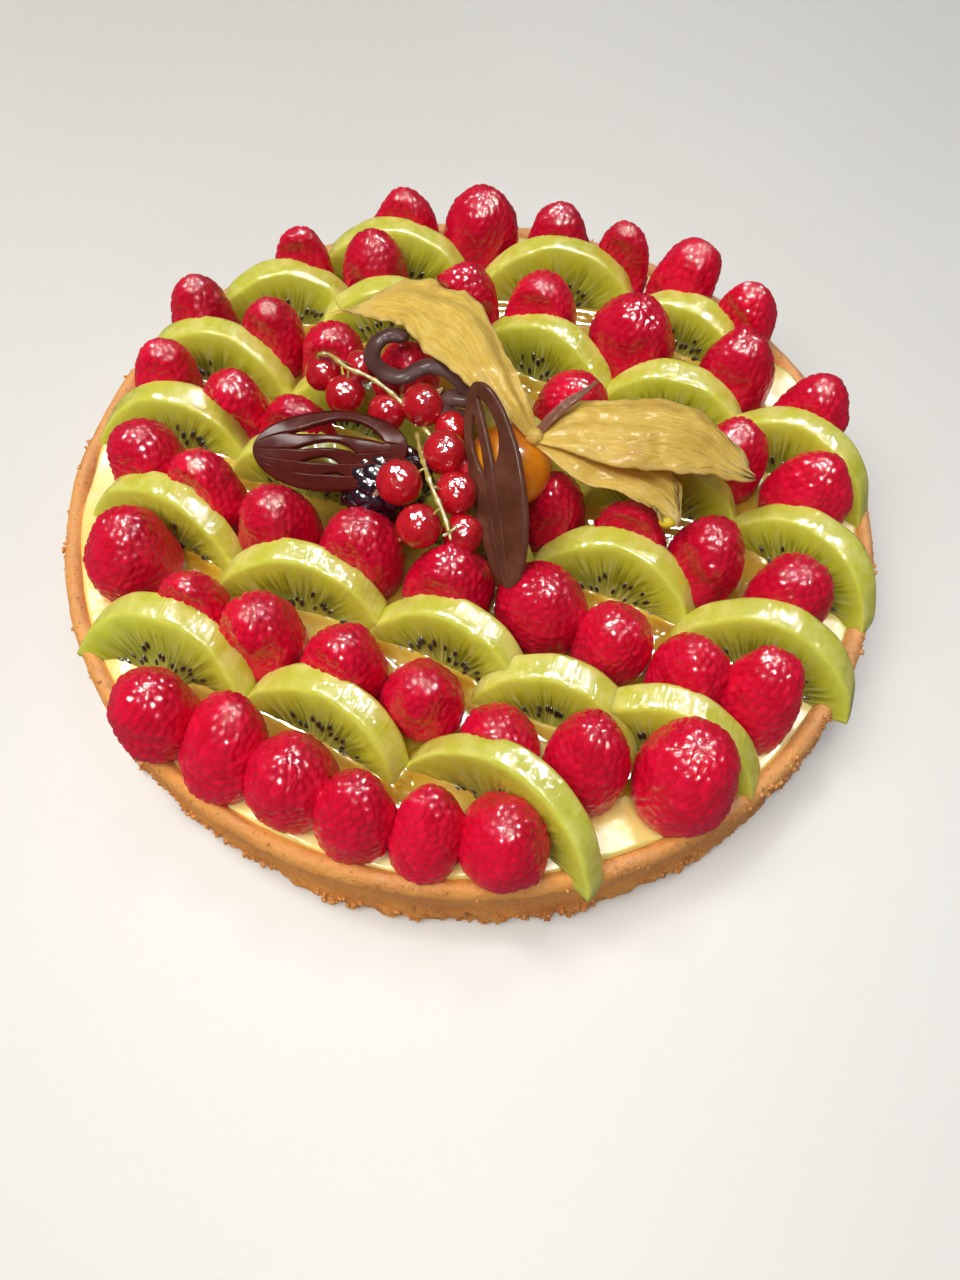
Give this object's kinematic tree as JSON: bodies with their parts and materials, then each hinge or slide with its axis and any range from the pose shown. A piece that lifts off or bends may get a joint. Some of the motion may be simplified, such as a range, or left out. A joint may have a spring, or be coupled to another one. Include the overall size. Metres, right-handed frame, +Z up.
{
  "type": "fruit tart",
  "caption": "Round pastry case of cream set with slanting rows of raspberries and kiwi half slices, topped with currants, a physalis in its husk and moulded chocolate pieces.",
  "frame": {"origin": "middle of the case's flat underside", "axes": "+Z up, -Y towards the front, +X to the right seen from the front"},
  "size_m": [0.2, 0.2, 0.06],
  "materials": {
    "pastry_case": "matt, baked golden brown",
    "pastry_cream": "smooth and moist",
    "raspberry": "wet with clear glaze",
    "kiwi": "wet with clear glaze",
    "redcurrants": "clear skinned and shiny",
    "bramble": "shiny",
    "dark_chocolate": "satin",
    "physalis_fruit": "shiny",
    "physalis_husk": "dry and papery"
  },
  "bodies": {
    "root": {"bramble": "bramble", "chocolate_curl": "dark_chocolate", "chocolate_oval": "dark_chocolate", "chocolate_wing": "dark_chocolate", "kiwi_a": "kiwi", "kiwi_b": "kiwi", "kiwi_c": "kiwi", "kiwi_d": "kiwi", "kiwi_e": "kiwi", "kiwi_f": "kiwi", "kiwi_g": "kiwi", "pastry_case": "pastry_case", "pastry_cream": "pastry_cream", "physalis_fruit": "physalis_fruit", "physalis_husk": "physalis_husk", "raspberries_a1_a2": "raspberry", "raspberries_a3_a4": "raspberry", "raspberries_b2_b3": "raspberry", "raspberries_c6_c7": "raspberry", "raspberries_c8_c9": "raspberry", "raspberries_d2_d3": "raspberry", "raspberry_a5": "raspberry", "raspberry_a6": "raspberry", "raspberry_b1": "raspberry", "raspberry_b4": "raspberry", "raspberry_b5": "raspberry", "raspberry_b6": "raspberry", "raspberry_b7": "raspberry", "raspberry_b8": "raspberry", "raspberry_c1": "raspberry", "raspberry_c2": "raspberry", "raspberry_c3": "raspberry", "raspberry_c4": "raspberry", "raspberry_c5": "raspberry", "raspberry_d1": "raspberry", "raspberry_d4": "raspberry", "raspberry_d5": "raspberry", "raspberry_d6": "raspberry", "raspberry_d7": "raspberry", "raspberry_e1": "raspberry", "raspberry_e2": "raspberry", "raspberry_e3": "raspberry", "raspberry_e4": "raspberry", "raspberry_e5": "raspberry", "raspberry_e6": "raspberry", "raspberry_e7": "raspberry", "raspberry_f1": "raspberry", "raspberry_f2": "raspberry", "raspberry_f3": "raspberry", "raspberry_f4": "raspberry", "raspberry_f5": "raspberry", "raspberry_f6": "raspberry", "raspberry_f7": "raspberry", "raspberry_g1": "raspberry", "raspberry_g2": "raspberry", "raspberry_g3": "raspberry", "raspberry_g4": "raspberry", "raspberry_g5": "raspberry", "raspberry_g6": "raspberry", "redcurrants": "redcurrants"}
  },
  "joints": []
}
